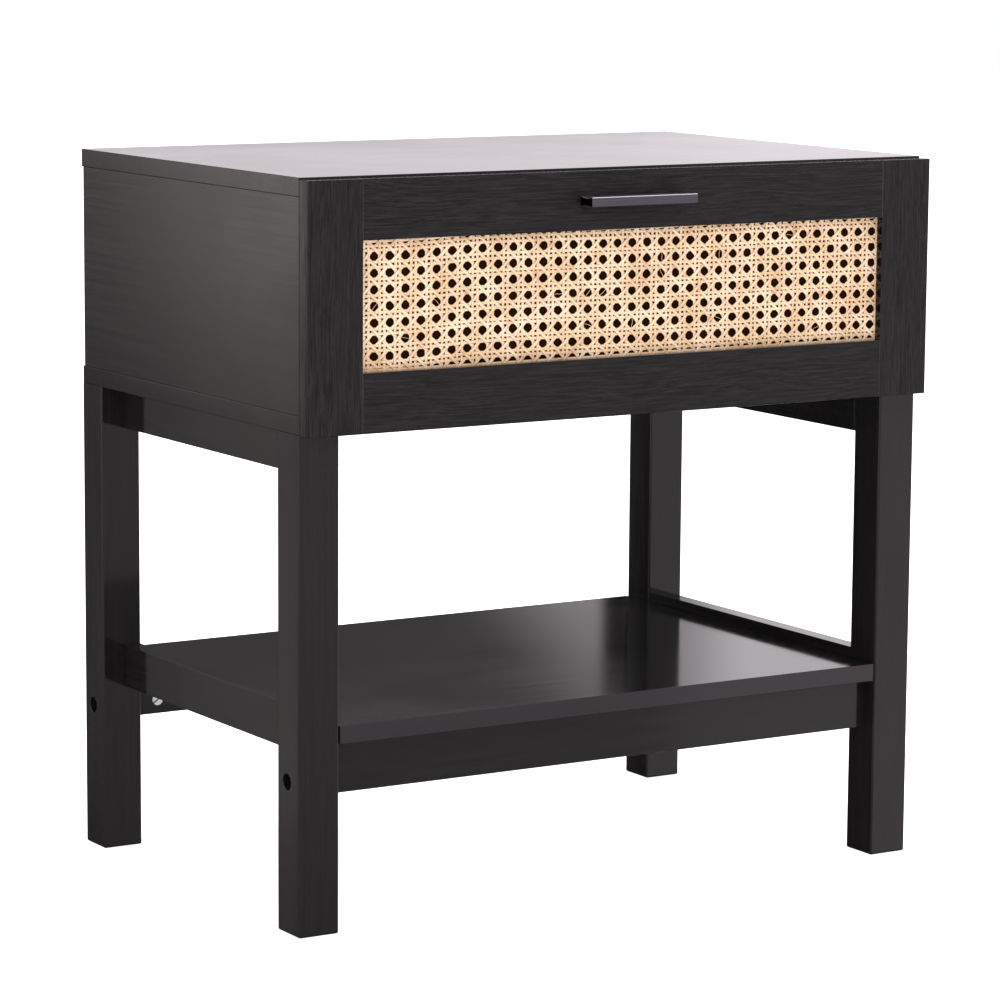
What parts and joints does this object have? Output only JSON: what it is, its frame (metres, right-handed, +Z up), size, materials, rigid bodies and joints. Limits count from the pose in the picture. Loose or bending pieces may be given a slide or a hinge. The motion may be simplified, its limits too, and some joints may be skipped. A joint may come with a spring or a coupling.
{
  "type": "nightstand",
  "caption": "Free-standing nightstand: a carcass with a cane-panelled drawer on ball-bearing slides and a bar pull, held on square legs with side rails and a low open shelf.",
  "frame": {"origin": "on the floor, at the centre of the outer box, which includes the drawer's pull", "axes": "+X to the right seen from the drawer side, +Y to the back, +Z up; the drawer opens along -Y"},
  "size_m": [0.6, 0.4194, 0.605],
  "materials": {
    "black_lacquered_wood": "satin black lacquer over an open-grained wood",
    "cane_webbing": "natural woven rattan cane, matt to satin",
    "black_hardboard": "black painted hardboard, matt",
    "drawer_plywood": "clear-lacquered birch plywood",
    "beech_dowel": "raw beech",
    "grey_pull_metal": "satin dark grey coated extrusion",
    "zinc_steel": "bright zinc plate",
    "black_steel": "black oxide steel",
    "nylon": "moulded off-white nylon"
  },
  "bodies": {
    "cabinet": {"top_panel": "black_lacquered_wood", "bottom_panel": "black_lacquered_wood", "side_panel_left": "black_lacquered_wood", "side_panel_right": "black_lacquered_wood", "back_panel": "black_hardboard", "carcass_dowels": "beech_dowel", "cam_locks": "zinc_steel", "cam_bolts": "zinc_steel", "back_panel_screws": "zinc_steel", "leg_front_left": "black_lacquered_wood", "leg_front_right": "black_lacquered_wood", "leg_back_left": "black_lacquered_wood", "leg_back_right": "black_lacquered_wood", "apron_left": "black_lacquered_wood", "apron_right": "black_lacquered_wood", "side_rail_left": "black_lacquered_wood", "side_rail_right": "black_lacquered_wood", "shelf": "black_lacquered_wood", "front_stretcher": "black_lacquered_wood", "back_stretcher": "black_lacquered_wood", "side_frame_dowels": "beech_dowel", "stretcher_dowels": "beech_dowel", "shelf_dowels": "beech_dowel", "stretcher_bolts": "black_steel", "barrel_nuts": "zinc_steel", "leg_top_bolts": "zinc_steel", "leg_inserts": "zinc_steel", "foot_glides": "nylon", "slide_carcass_left": "zinc_steel", "slide_carcass_right": "zinc_steel", "slide_wall_screws": "zinc_steel"},
    "drawer": {"stile_left": "black_lacquered_wood", "stile_right": "black_lacquered_wood", "top_rail": "black_lacquered_wood", "bottom_rail": "black_lacquered_wood", "front_frame_dowels": "beech_dowel", "cane_panel": "cane_webbing", "cane_backing": "black_hardboard", "cane_beads": "black_lacquered_wood", "drawer_pull": "grey_pull_metal", "pull_screws": "zinc_steel", "box_side_left": "drawer_plywood", "box_side_right": "drawer_plywood", "box_front": "drawer_plywood", "box_back": "drawer_plywood", "box_bottom": "drawer_plywood", "box_dowels": "beech_dowel", "box_bottom_screws": "zinc_steel", "front_fixing_screws": "zinc_steel", "slide_drawer_left": "zinc_steel", "slide_drawer_right": "zinc_steel", "slide_drawer_screws": "zinc_steel"},
    "middle_member_left": {"slide_middle_left": "zinc_steel"},
    "middle_member_right": {"slide_middle_right": "zinc_steel"},
    "outer_cage_left": {"slide_outer_cage_left": "zinc_steel"},
    "outer_cage_right": {"slide_outer_cage_right": "zinc_steel"},
    "inner_cage_left": {"slide_inner_cage_left": "zinc_steel"},
    "inner_cage_right": {"slide_inner_cage_right": "zinc_steel"}
  },
  "joints": [
    {"name": "drawer_slide", "type": "slide", "parent": "cabinet", "child": "drawer", "axis": [0, -1, 0], "range_m": [0, 0.33]},
    {"name": "middle_member_left_slide", "type": "slide", "parent": "cabinet", "child": "middle_member_left", "axis": [0, -1, 0], "range_m": [0, 0.165]},
    {"name": "outer_cage_left_slide", "type": "slide", "parent": "cabinet", "child": "outer_cage_left", "axis": [0, -1, 0], "range_m": [0, 0.0825]},
    {"name": "inner_cage_left_slide", "type": "slide", "parent": "cabinet", "child": "inner_cage_left", "axis": [0, -1, 0], "range_m": [0, 0.2475]},
    {"name": "middle_member_right_slide", "type": "slide", "parent": "cabinet", "child": "middle_member_right", "axis": [0, -1, 0], "range_m": [0, 0.165]},
    {"name": "outer_cage_right_slide", "type": "slide", "parent": "cabinet", "child": "outer_cage_right", "axis": [0, -1, 0], "range_m": [0, 0.0825]},
    {"name": "inner_cage_right_slide", "type": "slide", "parent": "cabinet", "child": "inner_cage_right", "axis": [0, -1, 0], "range_m": [0, 0.2475]}
  ],
  "couplings": [
    {"joint": "middle_member_left_slide", "follows": "drawer_slide", "ratio": 0.5},
    {"joint": "outer_cage_left_slide", "follows": "drawer_slide", "ratio": 0.25},
    {"joint": "inner_cage_left_slide", "follows": "drawer_slide", "ratio": 0.75},
    {"joint": "middle_member_right_slide", "follows": "drawer_slide", "ratio": 0.5},
    {"joint": "outer_cage_right_slide", "follows": "drawer_slide", "ratio": 0.25},
    {"joint": "inner_cage_right_slide", "follows": "drawer_slide", "ratio": 0.75}
  ]
}
